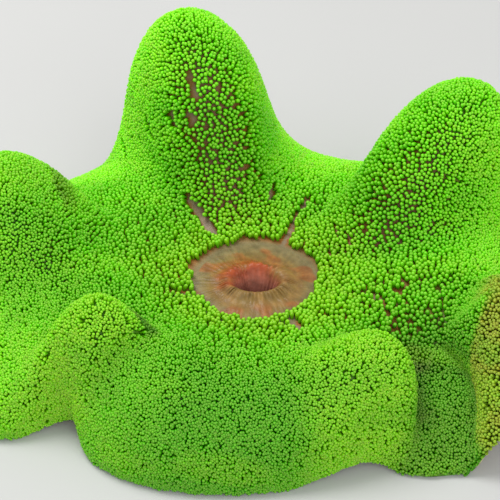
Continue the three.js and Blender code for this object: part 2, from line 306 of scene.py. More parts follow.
def streaks_at(place, spare=0.0):
    """1 on the bare streaks, widened by spare, and 0 away from them."""
    inside = np.zeros(len(place))
    for u0, s0, u1, s1, half in STREAKS:
        start, end = skin_point([u0, u1], [s0, s1])
        line = end - start
        share = np.clip((place - start) @ line / (line @ line), 0, 1)
        gap = np.linalg.norm(place - start - share[:, None] * line, axis=1)
        gap = gap + 0.5 * wander(place, 5, 41)
        inside = np.maximum(inside, 1 - smoothstep(gap, 0.7 * half + spare, 1.2 * half + spare))
    return inside


# ---- colours ----
def srgb(*parts):
    """A colour given from 0 to 255 as the eye sees it, in linear light."""
    c = np.array(parts, float) / 255
    return np.where(c <= 0.04045, c / 12.92, ((c + 0.055) / 1.055) ** 2.4)


LIME = srgb(136, 206, 24)
LEAF = srgb(106, 204, 18)
BRIGHT = srgb(132, 236, 28)
DEEP = srgb(72, 178, 6)
# Dark green painted as the shade in the creases.
PAINTED_CREASE_SHADE = 0.12 * DEEP
YELLOW_GREEN = srgb(144, 226, 36)
OLIVE = srgb(160, 172, 62)
SKIN_BROWN = srgb(128, 88, 26)
SKIN_GREEN = srgb(88, 170, 18)
SKIN_RUST = srgb(150, 92, 36)
MAUVE = srgb(128, 115, 80)
STREAK_MAUVE = srgb(140, 118, 92)
SAND = srgb(126, 106, 58)
ORANGE = srgb(154, 86, 38)
LIP_RED = srgb(166, 76, 40)
THROAT_PINK = srgb(176, 112, 92)
COLUMN_CREAM = srgb(232, 214, 176)
COLUMN_TAN = srgb(208, 176, 130)
WART_CREAM, WART_ROSE = srgb(228, 200, 140), srgb(166, 92, 104)
# Linear light: what the tentacles' colours are multiplied by, round the disc and along
# each one (darker to the root, as painted shade), the pale colour of their tips, which is a
# painted highlight, and the two greys of the floor.
FRONT_TONE, BACK_TONE = np.array([0.72, 0.79, 0.5]), np.array([1.04, 1.04, 0.85])
ROOT_PAINTED_SHADE, BODY_SHADE = (0.54, 0.58, 0.46, 1), (1.08, 1.04, 1, 1)
TIP_PAINTED_HIGHLIGHT = (0.48, 0.7, 0.13, 1)
FLOOR_GREYS = (0.5, 0.5, 0.49, 1), (0.55, 0.55, 0.54, 1)


def near_profile(u, index, half):
    """1 round the line where u is index, falling to 0 where u is half away from it."""
    gap = np.abs((u - index + COUNT / 2) % COUNT - COUNT / 2)
    return 1 - smoothstep(gap, 0.35 * half, half)


def front_share(u):
    """1 round the front of the disc, 0 behind."""
    return near_profile(u, 8.4, 4.4)


def back_share(u):
    """1 round the back of the disc, 0 in front."""
    return near_profile(u, 2.7, 3.2)


def blend(tint, *layers):
    """tint under layers, each a colour and its share at each place."""
    for colour, share in layers:
        tint = tint + (colour - tint) * np.asarray(share)[..., None]
    return tint


def olive_share(u, s):
    """1 on the olive right fold, from its front contour over its crest."""
    start = np.interp(s, (0.66, 0.72, 0.77, 0.86, 1.0), (11.96, 11.62, 11.4, 11.42, 11.65))
    return band(u, start - 0.06, start + 0.06, 12.35, 12.6) * smoothstep(s, 0.58, 0.66)


def painted_shade_share(u, s):
    """Share of painted shade in the creases: under the front right fold's flank, in the front left fold's
    nook and along the left fold's foot."""
    edge = mix(11.15, 10.84, smoothstep(s, 0.5, 0.78))
    right = band(u, 10.3, 10.6, edge, edge + 0.2) * band(s, 0.42, 0.52, 0.78, 0.88)
    nook = near_profile(u, 7.36, 0.38) * band(s, 0.46, 0.52, 0.56, 0.6)
    line = np.interp(s, (0.44, 0.5, 0.53, 0.57), (4.95, 4.88, 4.85, 4.78))
    foot = band(u, line - 0.17, line - 0.05, line, line + 0.03) * band(s, 0.42, 0.48, 0.57, 0.62)
    return np.maximum(right, np.maximum(0.85 * nook, 0.8 * foot))


def tentacle_colour(u, s, place):
    """Colour of the tentacles over the disc."""
    lower = smoothstep(s, 0.45, 0.75)
    patch = wander(place, 46, 3)
    tint = blend(
        np.broadcast_to(LEAF, place.shape),
        (LIME, 1 - smoothstep(s, 0.02, 0.34)),
        # Brighter out towards the crests and the margin: partly the tentacles' own colour, partly painted
        # light on the fold tops.
        (BRIGHT, smoothstep(s, 0.5, 0.8)),
        (DEEP, near_profile(u, 9, 1.1) * lower),
        (DEEP, 0.6 * near_profile(u, 8, 1.0) * lower),
        (YELLOW_GREEN, near_profile(u, 7, 0.9) * smoothstep(s, 0.4, 0.7)),
        (YELLOW_GREEN, near_profile(u, 10.1, 0.9) * smoothstep(s, 0.4, 0.65)),
        # Painted shade: darker green in the valley to the right of the front right fold.
        (0.5 * DEEP, 0.85 * near_profile(u, 11.1, 1.0) * smoothstep(s, 0.25, 0.6)),
        # Painted shade in the creases.
        (PAINTED_CREASE_SHADE, 0.95 * painted_shade_share(u, s)),
        (OLIVE, olive_share(u, s)),
        (YELLOW_GREEN, 0.35 * smoothstep(patch, 0.1, 0.9)),
        (DEEP, 0.35 * smoothstep(-patch, 0.1, 0.9)),
    )
    back = near_profile(u, 2.2, 3.2) * smoothstep(s, 0.3, 0.5)
    return tint * mix(FRONT_TONE, BACK_TONE, back[:, None])


def skin_colour(u, s, place):
    """Colour of the disc's own skin, which shows between the tentacles."""
    start = mix(0.35, 0.46, back_share(u))
    green = smoothstep(s, start, start + 0.27) * (0.85 + 0.15 * wander(place, 30, 5))
    return blend(
        np.broadcast_to(SKIN_RUST, place.shape),
        (SKIN_BROWN, smoothstep(s, 0.05, 0.3)),
        (SKIN_GREEN, green),
        (0.5 * OLIVE, olive_share(u, s)),
        # Painted shade in the creases, the same as on the tentacles.
        (PAINTED_CREASE_SHADE, 0.95 * painted_shade_share(u, s)),
        (STREAK_MAUVE, streaks_at(place, 0.5)),
    )


# ---- meshes ----
def store(mesh, name, kind, values):
    """Adds an attribute to the points of a mesh and fills it."""
    attribute = mesh.attributes.new(name, kind, "POINT")
    key = {"FLOAT_COLOR": "color", "FLOAT_VECTOR": "vector"}.get(kind, "value")
    number = np.int32 if kind == "INT" else np.float32
    attribute.data.foreach_set(key, np.asarray(values, number).ravel())


def add_object(name, data):
    """An object at the origin that holds a mesh, a light or a camera."""
    made = bpy.data.objects.new(name, data)
    bpy.context.scene.collection.objects.link(made)
    return made


def with_alpha(colours):
    """Colours with a fourth number of 1."""
    return np.concatenate([colours, np.ones((len(colours), 1))], 1)


def to_box(points):
    """Keeps points, in metres, inside the solids' box and above the floor."""
    return np.clip(points, np.array(cad_low), np.array(cad_high))


# ---- the skin ----
SKIN_COLUMNS = 26 * COUNT
MOUTH_ROWS, DISC_ROWS, RIM_ROWS = 46, 112, 7  # rows of the skin, from the throat outwards
UNDER_ROWS, JOIN_ROWS, COLUMN_ROWS = 62, 9, 38  # and on from the margin down to the floor
RIDGES = 5 * COUNT  # faint ridges from the margin down the column
LIP_RIBS = 3 * COUNT
RED_BEARING = math.radians(130)  # the lips are reddest this way
JOIN_REACH, JOIN_BEND = 43.0, 9.0  # where the underside turns down into the column, and how wide
# Rings of the mouth from the slit in the throat out to the bare ring: half widths in x
# and y, height, how deep the ribs are, and the row's colour.
MOUTH_RINGS = (
    # The throat's colour darkens down towards the slit: painted shade in the mouth's depth.
    (6.0, 0.2, 30.0, 0.0, 0.25 * THROAT_PINK),
    (7.6, 1.5, 32.5, 0.4, 0.35 * THROAT_PINK),
    (8.8, 3.1, 35.5, 0.7, 0.5 * THROAT_PINK),
    (9.9, 4.8, 38.6, 1.0, 0.7 * THROAT_PINK),
    (10.9, 6.2, 41.4, 1.2, mix(THROAT_PINK, LIP_RED, 0.3)),
    (11.9, 7.5, 43.8, 1.3, mix(THROAT_PINK, LIP_RED, 0.7)),
    (13.0, 8.8, 45.7, 1.3, LIP_RED),
    (15.0, 10.7, 46.5, 1.15, mix(LIP_RED, ORANGE, 0.3)),
    (17.2, 12.7, 45.6, 0.9, mix(LIP_RED, ORANGE, 0.8)),
    (19.0, 14.3, 44.4, 0.6, ORANGE),
    (21.0, 16.2, 43.5, 0.3, mix(ORANGE, SAND, 0.5)),
    (24.0, 21.0, 43.0, 0.2, mix(ORANGE, SAND, 0.9)),
    (27.5, 26.0, 42.5, 0.16, mix(SAND, MAUVE, 0.6)),
    (BARE_RADIUS, BARE_RADIUS, MOUTH_HEIGHT, 0.1, MAUVE),
)
# Rings of the column and the foot, from the top down: radius and height.
COLUMN_RINGS = (
    (35.4, 28.5), (33.6, 25.0), (33.0, 19.0), (35.6, 13.4), (41.5, 9.0),
    (46.6, 6.9), (49.2, 6.0), (51.6, 4.2), (52.0, 2.6), (51.4, 1.0), (50.2, 0.0),
)


def through(rings, rows):
    """Values on a smooth curve through rows of numbers, spaced by length."""
    rings = np.array(rings, float)
    gaps = np.linalg.norm(np.diff(rings[:, :3], axis=0), axis=1)
    knots = np.concatenate([[0], np.cumsum(gaps)])
    slopes = np.gradient(rings, knots, axis=0)
    at = np.linspace(0, knots[-1], rows)
    i = np.clip(np.searchsorted(knots, at, side="right") - 1, 0, len(knots) - 2)
    gap = (knots[i + 1] - knots[i])[:, None]
    t = (at - knots[i])[:, None] / gap
    return hermite(rings[i], slopes[i] * gap, rings[i + 1], slopes[i + 1] * gap, t)


def mouth_rows(u, bearing):
    """Rows of the throat, the ribbed lips and the bare skin round the mouth."""
    rings = through([(*ring[:4], *ring[4]) for ring in MOUTH_RINGS], MOUTH_ROWS)
    rows, colours = [], []
    turn = TURN * u / COUNT
    drift = 2.6 * np.sin(2 * turn + 1) + 1.7 * np.sin(3 * turn + 2.2) + np.sin(7 * turn)
    rib = np.cos(LIP_RIBS * turn + drift) * (0.65 + 0.35 * np.sin(5 * turn + drift))
    red_side = smoothstep(np.cos(bearing - RED_BEARING), -0.1, 0.6)
    groove = np.cos(RIDGES * turn) * (0.55 + 0.45 * np.sin(4 * turn + 2 * drift))
    for half_x, half_y, height, depth, *colour in rings:
        out = unit(np.stack([np.cos(bearing) * half_y, np.sin(bearing) * half_x], 1))
        bare = smoothstep(half_x, 19, 24)
        wave = mix(rib, groove, bare)
        corner = np.abs(np.cos(bearing)) ** 12 * (1 - smoothstep(abs(height - 46), 0, 4))
        flat = [half_x * np.cos(bearing), half_y * np.sin(bearing)]
        place = np.stack([*flat, height + 0 * bearing], 1)
        soft = wander(place, 17, 21)
        swell = band(half_x, 9, 13, 20, 27) * soft
        place[:, :2] += out * (0.6 * depth * wave + 0.4 * swell)[:, None]
        place[:, 2] += 0.5 * depth * wave - 1.3 * corner + 0.4 * swell
        rows.append(place)
        # Lighter on the raised ribs and darker in the grooves between them: painted light and shade.
        tint = np.array(colour) * (1 + (0.16 - 0.1 * bare) * wave)[:, None]
        lips = smoothstep(half_x, 10, 13) * (1 - bare)
        tint = blend(
            tint,
            (1.2 * SAND, 0.75 * lips * (1 - red_side)),
            (SAND, 0.5 * lips * smoothstep(-soft, -0.1, 0.7)),
            (ORANGE, 0.6 * bare * smoothstep(soft, 0.1, 0.9)),
        )
        colours.append(tint * (1 + 0.12 * wander(place, 6, 23))[:, None])
    return rows[:-1], colours[:-1]


def disc_rows(u):
    """Rows over the top of the disc, round its margin and back underneath."""
    rows, colours = [], []
    for s in np.linspace(0, 1, DISC_ROWS):
        place = skin_point(u, s)
        rows.append(place)
        tint = skin_colour(u, np.full(len(u), s), place)
        colours.append(blend(tint, (MAUVE, 1 - smoothstep(s, 0, 0.05))))
    rim = skin_point(u, np.ones(len(u)))
    normal, along, _, _ = skin_bends(u, 1)
    half = 0.5 * on_grid(FLESH_GRID, u, np.ones(len(u)))[:, None]
    for turn in np.linspace(0, np.pi, RIM_ROWS + 2)[1:-1]:
        lift = -half * (1 - np.cos(turn))
        rows.append(rim + normal * lift + along * 2 * half * RIM_BULGE * np.sin(turn))
        tint = skin_colour(u, np.ones(len(u)), rim)
        colours.append(blend(tint, (COLUMN_CREAM, smoothstep(turn, 1.2, 2.8))))
    return rows, colours


def underside(u, s):
    """The flesh's lower face, with its faint ridges."""
    s = np.broadcast_to(np.asarray(s, float), u.shape)
    normal, _, _, _ = skin_bends(u, s)
    ridge = 0.22 * np.cos(RIDGES * TURN * u / COUNT) - 0.22
    depth = on_grid(FLESH_GRID, u, s) + ridge * smoothstep(1 - s, 0.02, 0.15)
    return skin_point(u, s) - normal * depth[:, None]


def speckled(place, seed, amount):
    """Cream with tan flecks."""
    fleck = 0.5 + 0.5 * wander(place, 7, seed)
    return blend(np.broadcast_to(COLUMN_CREAM, place.shape), (COLUMN_TAN, amount * fleck))


def under_rows(u):
    """Rows of the underside, from the margin in to the top of the column."""
    rows, colours = [], []
    shares = np.linspace(0, 0.6, 61)
    reach = np.array([np.linalg.norm(underside(u, s)[:, :2], axis=1) for s in shares])
    reach = np.maximum.accumulate(reach, axis=0)
    join = np.array([np.interp(JOIN_REACH, reach[:, k], shares) for k in range(len(u))])
    for t in np.linspace(0, 1, UNDER_ROWS):
        s = mix(1.0, join, t)
        place = underside(u, s)
        rows.append(place)
        edge = smoothstep(s, 0.86, 1)
        colours.append(blend(speckled(place, 9, 0.5), (SKIN_GREEN, 0.35 * edge)))
    return rows, colours


def lower_rows(u, bearing):
    """Rows under the disc, down the column and across the sole."""
    rows, colours = under_rows(u)
    end, before = rows[-1], rows[-3]
    lead = unit(end - before)
    ridge = np.cos(RIDGES * TURN * u / COUNT) - 1
    wave = 0.04 * np.cos(3 * bearing + 0.6) + 0.025 * np.cos(5 * bearing + 2)
    rings = through([(radius, height, 0) for radius, height in COLUMN_RINGS], COLUMN_ROWS)

    def column_ring(radius, height):
        soft = mix(1.0, 0.5, smoothstep(height, 9, 16))
        r = radius * (1 + wave * soft) + 0.16 * ridge * smoothstep(height, 3, 9)
        return np.stack([r * np.cos(bearing), r * np.sin(bearing), 0 * r + height], 1)

    top = column_ring(*rings[0][:2])
    drop = np.array([0.0, 0.0, -JOIN_BEND]) - 3.0 * unit(top * [1, 1, 0])
    for t in np.linspace(0, 1, JOIN_ROWS + 2)[1:-1]:
        rows.append(hermite(end, lead * JOIN_BEND, top, drop, t))
    for radius, height, _ in rings:
        rows.append(column_ring(radius, height))
    for share in (0.93, 0.7, 0.4, 0.12):
        rows.append(column_ring(COLUMN_RINGS[-1][0] * share, 0.0))
    # Painted shade: darker down the column's grooves.
    line = 0.1 * (1 - np.cos(RIDGES * TURN * u / COUNT)) / 2
    for place in rows[len(colours):]:
        tint = speckled(place, 11, 0.6) * (1 - line)[:, None]
        low = 1 - smoothstep(place[:, 2], 1, 9)
        colours.append(blend(tint, (0.8 * COLUMN_TAN, 0.5 * low)))
    return rows, colours


def skin_faces(rows, columns):
    """Faces between the rows of the skin, and the fans that close the throat and the sole."""
    column = np.arange(columns)
    after = (column + 1) % columns
    a = (np.arange(rows - 1)[:, None] * columns + column[None, :]).ravel()
    step = np.tile(after - column, rows - 1)
    wall = np.stack([a, a + columns, a + columns + step, a + step], 1)
    throat = np.stack([column, after, np.full(columns, rows * columns)], 1)
    last = (rows - 1) * columns
    sole = np.stack([last + after, last + column, np.full(columns, rows * columns + 1)], 1)
    return wall.tolist() + throat.tolist() + sole.tolist()


def skin_map(rows):
    """The bake map of the skin: columns side by side, rows spaced by their length."""
    count, size = rows.shape[:2]
    length = np.linalg.norm(np.diff(rows, axis=0), axis=-1).mean(1)
    along = np.concatenate([[0], np.cumsum(length)])
    along = 0.01 + 0.98 * along / along[-1]
    k = np.arange(size)
    left, right = np.tile(k / size, count - 1), np.tile((k + 1) / size, count - 1)
    low, high = np.repeat(along[:-1], size), np.repeat(along[1:], size)
    wall = np.stack([left, low, left, high, right, high, right, low], 1).reshape(-1, 2)

    def fan(x0, x1, y, tip):
        corners = [x0, 0 * k + y, x1, 0 * k + y, 0.5 * (x0 + x1), 0 * k + tip]
        return np.stack(corners, 1).reshape(-1, 2)

    throat = fan(k / size, (k + 1) / size, along[0], 0.0)
    sole = fan((k + 1) / size, k / size, along[-1], 1.0)
    return np.concatenate([wall, throat, sole])


def skin_mesh():
    """One closed skin: throat, lips, disc, column and foot."""
    u = np.arange(SKIN_COLUMNS) * COUNT / SKIN_COLUMNS
    ring = skin_point(u, np.zeros(SKIN_COLUMNS))
    bearing = np.arctan2(ring[:, 1], ring[:, 0])
    parts = [mouth_rows(u, bearing), disc_rows(u), lower_rows(u, bearing)]
    rows = np.array([row for rows, _ in parts for row in rows])
    colours = np.array([row for _, colours in parts for row in colours])
    points = np.concatenate([rows.reshape(-1, 3), [rows[0].mean(0)], [[0, 0, 0]]])
    tints = np.concatenate([colours.reshape(-1, 3), [colours[0].mean(0)], [colours[-1].mean(0)]])
    mesh = bpy.data.meshes.new("anemone_skin")
    mesh.from_pydata(to_box(points * MM).tolist(), [], skin_faces(*rows.shape[:2]))
    layer = mesh.uv_layers.new(name="OFBake")
    layer.data.foreach_set("uv", skin_map(rows).astype(np.float32).ravel())
    store(mesh, "tint", "FLOAT_COLOR", with_alpha(tints))
    mesh.shade_smooth()
    return mesh


# ---- the tentacles ----
# How far apart they stand: near the mouth, and at the front and the back of the margin.
SPACING_INNER, SPACING_FRONT, SPACING_BACK = 1.9, 0.96, 1.2
CELLS_U, CELLS_S = 24, 96  # the grid that the darts are thrown by: for each profile, and along s
DARTS = 9  # darts for each patch one spacing wide
CLOSEST = 0.84  # how near two may land, as a share of the spacing, squared
NEIGHBOURS, ROOM_WANTED, PUSH = 6, 1.17, 0.25  # how they spread evenly afterwards
MOST_U, MOST_S = 0.05, 0.02  # the furthest push at a time
SUNK = 0.4  # how deep a root goes into the skin


def spacing(u, s):
    """How far apart the tentacles stand: wide near the mouth, close at the front margin."""
    start = mix(0.04, 0.42, np.maximum(back_share(u), near_profile(u, 12.3, 2)))
    margin = mix(SPACING_BACK, SPACING_FRONT, front_share(u))
    end = mix(0.69, 0.6, front_share(u))
    return mix(SPACING_INNER, margin, smoothstep((s - start) / (end - start)))


def scatter():
    """Places of the tentacles, as u and s, by dart throwing on the skin."""
    maker = np.random.default_rng(20)
    u = (np.arange(COUNT * CELLS_U) + 0.5) / CELLS_U
    s = np.linspace(-BARE_SPAN, 1 + RIM_SPAN, CELLS_S)
    gu, gs = [grid.ravel() for grid in np.meshgrid(u, s, indexing="ij")]
    place, _ = coat_place(gu, gs)
    net = place.reshape(len(u), len(s), 3)
    across = np.linalg.norm(np.roll(net, -1, 0) - net, axis=-1)
    along = np.linalg.norm(np.diff(net, axis=1, append=net[:, -1:]), axis=-1)
    weight = (across * along).ravel() / spacing(gu, gs) ** 2
    total = int(weight.sum() * DARTS)
    pick = maker.choice(len(gu), total, p=weight / weight.sum())
    cu = gu[pick] + (maker.random(total) - 0.5) / CELLS_U
    cs = gs[pick] + (maker.random(total) - 0.5) * (s[1] - s[0])
    cs = np.clip(cs, -BARE_SPAN, 1 + RIM_SPAN)
    place, _ = coat_place(cu, cs)
    reach = (spacing(cu, cs) ** 2 * CLOSEST).tolist()
    keep, cells = [], {}
    points, cell = place.tolist(), np.floor(place / SPACING_INNER).astype(int).tolist()
    for n in range(total):
        x, y, z = points[n]
        cx, cy, cz = cell[n]
        near = (cells.get((cx + i, cy + j, cz + k), ()) for i, j, k in product((-1, 0, 1), repeat=3))
        others = (points[m] for landed in near for m in landed)
        if all((a - x) ** 2 + (b - y) ** 2 + (c - z) ** 2 >= reach[n] for a, b, c in others):
            keep.append(n)
            cells.setdefault((cx, cy, cz), []).append(n)
    return cu[keep], cs[keep]


def relax(u, s, passes=7):
    """Pushes crowded tentacles apart along the skin, so that they pack evenly."""
    step = 0.01
    for _ in range(passes):
        place, _ = coat_place(u, s)
        tree = kdtree.KDTree(len(u))
        for n, p in enumerate(place):
            tree.insert(p, n)
        tree.balance()
        near = [[found[1] for found in tree.find_n(p, NEIGHBOURS + 1)][1:] for p in place]
        away = place[:, None] - place[np.array(near, int)]
        gap = np.linalg.norm(away, axis=-1, keepdims=True)
        want = ROOM_WANTED * spacing(u, s)[:, None, None]
        push = (away / (gap + 1e-6) * np.clip(want - gap, 0, None)).sum(1) * PUSH
        ahead = np.clip(s + step, -BARE_SPAN, 1 + RIM_SPAN)
        behind = np.clip(s - step, -BARE_SPAN, 1 + RIM_SPAN)
        by_u = (coat_place(u + step, s)[0] - coat_place(u - step, s)[0]) / (2 * step)
        by_s = coat_place(u, ahead)[0] - coat_place(u, behind)[0]
        by_s = by_s / (ahead - behind)[:, None]
        e, f, g = dot(by_u, by_u), dot(by_u, by_s), dot(by_s, by_s)
        x, y = dot(push, by_u), dot(push, by_s)
        area = np.maximum(e * g - f * f, 1e-3)
        u = u + np.clip((g * x - f * y) / area, -MOST_U, MOST_U)
        slide = np.clip((e * y - f * x) / area, -MOST_S, MOST_S)
        s = np.clip(s + slide, -BARE_SPAN, 1 + RIM_SPAN)
    return u % COUNT, s


def bead(name, sides, rings):
    """A blunt tentacle one unit long and about one across, as a shape to copy, from rings of
    height and radius."""
    points, share = [], []
    for height, radius in rings:
        for k in range(sides):
            turn = TURN * (k + 0.5 * (len(share) // sides % 2)) / sides
            points.append((radius * math.cos(turn), radius * math.sin(turn), height))
            share.append(height)
    top = len(points)
    points.append((0, 0, 1))
    share.append(1.0)
    faces = []
    for ring in range(len(rings) - 1):
        for k in range(sides):
            a, b = ring * sides + k, ring * sides + (k + 1) % sides
            faces.append((a, b, b + sides, a + sides))
    last = (len(rings) - 1) * sides
    faces += [(last + k, last + (k + 1) % sides, top) for k in range(sides)]
    mesh = bpy.data.meshes.new(name)
    mesh.from_pydata(points, [], faces)
    mesh.shade_smooth()
    store(mesh, "along", "FLOAT", share)
    flat = np.array(points)[:, :2]
    out = unit(flat) * (0.5 * (1 - np.array(share))[:, None])
    store(mesh, "patch", "FLOAT_VECTOR", np.concatenate([out, 0 * out[:, :1]], 1))
    return add_object(name, mesh)


def fill(tree, node, inputs):
    """Puts a value or a link into each of the node's inputs that is named."""
    for key, value in inputs.items():
        if isinstance(value, bpy.types.NodeSocket):
            tree.links.new(value, node.inputs[key])
        else:
            node.inputs[key].default_value = value


def add_node(tree, kind, inputs=(), **settings):
    """A new node with its settings and inputs."""
    made = tree.nodes.new(kind)
    for key, value in settings.items():
        setattr(made, key, value)
    fill(tree, made, dict(inputs))
    return made


class Tree:
    """A geometry node tree with helpers that keep its making short."""

    def __init__(self, name, inputs):
        self.tree = bpy.data.node_groups.new(name, "GeometryNodeTree")
        self.add = partial(add_node, self.tree)
        face = self.tree.interface
        face.new_socket("Geometry", in_out="INPUT", socket_type="NodeSocketGeometry")
        for label, kind, value in inputs:
            made = face.new_socket(label, in_out="INPUT", socket_type=kind)
            if value is not None:
                made.default_value = value
        face.new_socket("Geometry", in_out="OUTPUT", socket_type="NodeSocketGeometry")
        self.start = self.tree.nodes.new("NodeGroupInput")
        self.end = self.tree.nodes.new("NodeGroupOutput")

    def named(self, name, kind):
        """A value that each point carries."""
        node = self.add("GeometryNodeInputNamedAttribute", {"Name": name}, data_type=kind)
        return node.outputs["Attribute"]

    def vector(self, operation, inputs):
        """The result of a sum on vectors."""
        return self.add("ShaderNodeVectorMath", inputs, operation=operation).outputs["Vector"]

    def run(self, source, name, values):
        """The source's mesh as this tree makes it, as an object with a plain mesh."""
        modifier = source.modifiers.new("Make", "NODES")
        modifier.node_group = self.tree
        for item in self.tree.interface.items_tree:
            if item.in_out == "INPUT" and item.name in values:
                modifier[item.identifier] = values[item.name]
        graph = bpy.context.evaluated_depsgraph_get()
        mesh = bpy.data.meshes.new_from_object(
            source.evaluated_get(graph), preserve_all_data_layers=True, depsgraph=graph
        )
        bpy.data.objects.remove(source)
        mesh.name = name
        return add_object(name, mesh)


def copies_tree(name, shapes):
    """Copies of shapes on points: size, aim, spin and kind come from the points, and each
    copy gets a patch of the bake map at its root's place."""
    sizes = {"Patch width": 0.003, "Width": 1.0, "Length": 1.0}
    made = Tree(
        name,
        [(label, "NodeSocketFloat", value) for label, value in sizes.items()]
        + [("Finish", "NodeSocketMaterial", None)]
        + [(label, "NodeSocketObject", None) for label in shapes],
    )
    inputs = made.start.outputs
    joined = made.add("GeometryNodeGeometryToInstance")
    for label in reversed(shapes):
        info = made.add("GeometryNodeObjectInfo", {"Object": inputs[label]})
        made.tree.links.new(info.outputs["Geometry"], joined.inputs["Geometry"])
    spin = made.add("FunctionNodeAxisAngleToRotation", {"Angle": made.named("spin", "FLOAT")})
    aim = made.add(
        "FunctionNodeAlignRotationToVector",
        {"Rotation": spin.outputs["Rotation"], "Vector": made.named("aim", "FLOAT_VECTOR")},
        axis="Z",
    )
    scale = {"X": inputs["Width"], "Y": inputs["Width"], "Z": inputs["Length"]}
    stretch = made.add("ShaderNodeCombineXYZ", scale)
    size = made.named("size", "FLOAT_VECTOR")
    spread = made.add(
        "GeometryNodeInstanceOnPoints",
        {
            "Points": inputs["Geometry"],
            "Instance": joined.outputs["Instances"],
            "Pick Instance": True,
            "Instance Index": made.named("kind", "INT"),
            "Rotation": aim.outputs["Rotation"],
            "Scale": made.vector("MULTIPLY", {0: size, 1: stretch.outputs["Vector"]}),
        },
    )
    real = made.add("GeometryNodeRealizeInstances", {"Geometry": spread.outputs["Instances"]})
    patch = made.named("patch", "FLOAT_VECTOR")
    offset = made.vector("SCALE", {0: patch, "Scale": inputs["Patch width"]})
    where = made.vector("ADD", {0: made.named("root_map", "FLOAT_VECTOR"), 1: offset})
    mapped = made.add(
        "GeometryNodeStoreNamedAttribute",
        {"Geometry": real.outputs["Geometry"], "Name": "OFBake", "Value": where},
        data_type="FLOAT2",
        domain="CORNER",
    )
    dressed = {"Geometry": mapped.outputs["Geometry"], "Material": inputs["Finish"]}
    finish = made.add("GeometryNodeSetMaterial", dressed)
    made.tree.links.new(finish.outputs["Geometry"], made.end.inputs["Geometry"])
    return made


def points_object(name, roots, aim, size, tint, kind, spin, root_map):
    """Bare points that carry what the copies need, with roots and size in millimetres."""
    mesh = bpy.data.meshes.new(name)
    mesh.from_pydata((roots * MM).tolist(), [], [])
    store(mesh, "aim", "FLOAT_VECTOR", aim)
    store(mesh, "size", "FLOAT_VECTOR", size * MM)
    store(mesh, "tint", "FLOAT_COLOR", with_alpha(tint))
    store(mesh, "spin", "FLOAT", spin)
    store(mesh, "root_map", "FLOAT_VECTOR", root_map)
    store(mesh, "kind", "INT", kind)
    return add_object(name, mesh)


MAP_MIDDLE, MAP_INNER, MAP_WIDTH = 0.5, 0.08, 0.40  # the disc on its bake map


def polar_map(u, s):
    """The disc's skin laid out flat, mouth in the middle."""
    turn = TURN * u / COUNT
    reach = MAP_INNER + MAP_WIDTH * s
    flat = [MAP_MIDDLE + reach * np.cos(turn), MAP_MIDDLE + reach * np.sin(turn), 0 * u]
    return np.stack(flat, 1)


# ---- materials ----
def material(name):
    """A new material, a way to add nodes to it, and a way to fill its shader's inputs."""
    made = bpy.data.materials.new(name)
    made.use_nodes = True
    tree = made.node_tree
    return made, partial(add_node, tree), partial(fill, tree, tree.nodes["Principled BSDF"])


def mixed(add, share, first, second, **settings):
    """Two colours mixed by share, or by another blend type."""
    inputs = {0: share, 6: first, 7: second}
    return add("ShaderNodeMix", inputs, data_type="RGBA", **settings).outputs[2]


FLESH_IOR = 1.42


def tentacle_finish(name, gloss):
    """Translucent blunt tentacles, shiny at the tip: darker towards the root as painted shade, and paler
    at the tip as a painted highlight.
    """
    made, add, finish = material(name)
    tint = add("ShaderNodeAttribute", attribute_name="tint").outputs["Color"]
    along = add("ShaderNodeAttribute", attribute_name="along").outputs["Fac"]
    # Painted shade: each tentacle darkens from its shoulder down to its root.
    ramp = add("ShaderNodeValToRGB", {"Fac": along})
    stops = ramp.color_ramp.elements
    stops[0].position, stops[0].color = 0.1, ROOT_PAINTED_SHADE
    stops[1].position, stops[1].color = 0.85, BODY_SHADE
    shaded = mixed(add, 1.0, tint, ramp.outputs["Color"], blend_type="MULTIPLY")
    # Painted highlight: the tip turns pale.
    tip = add("ShaderNodeMapRange", {"Value": along, "From Min": 0.88, "From Max": 1.0, "To Max": 0.3})
    place = add("ShaderNodeTexCoord").outputs["Object"]
    grain = add("ShaderNodeTexNoise", {"Vector": place, "Scale": 900.0, "Detail": 2.0})
    rough = {"Value": grain.outputs["Fac"], "To Min": gloss - 0.06, "To Max": gloss + 0.08}
    looks = {
        "Base Color": mixed(add, tip.outputs["Result"], shaded, TIP_PAINTED_HIGHLIGHT),
        "Roughness": add("ShaderNodeMapRange", rough).outputs["Result"],
        "Subsurface Weight": 0.4,
        "Subsurface Radius": (0.6, 1.0, 0.2),
        "Subsurface Scale": 0.002,
        "IOR": FLESH_IOR,
        "Specular IOR Level": 0.15,
    }
    finish(looks)
    return made


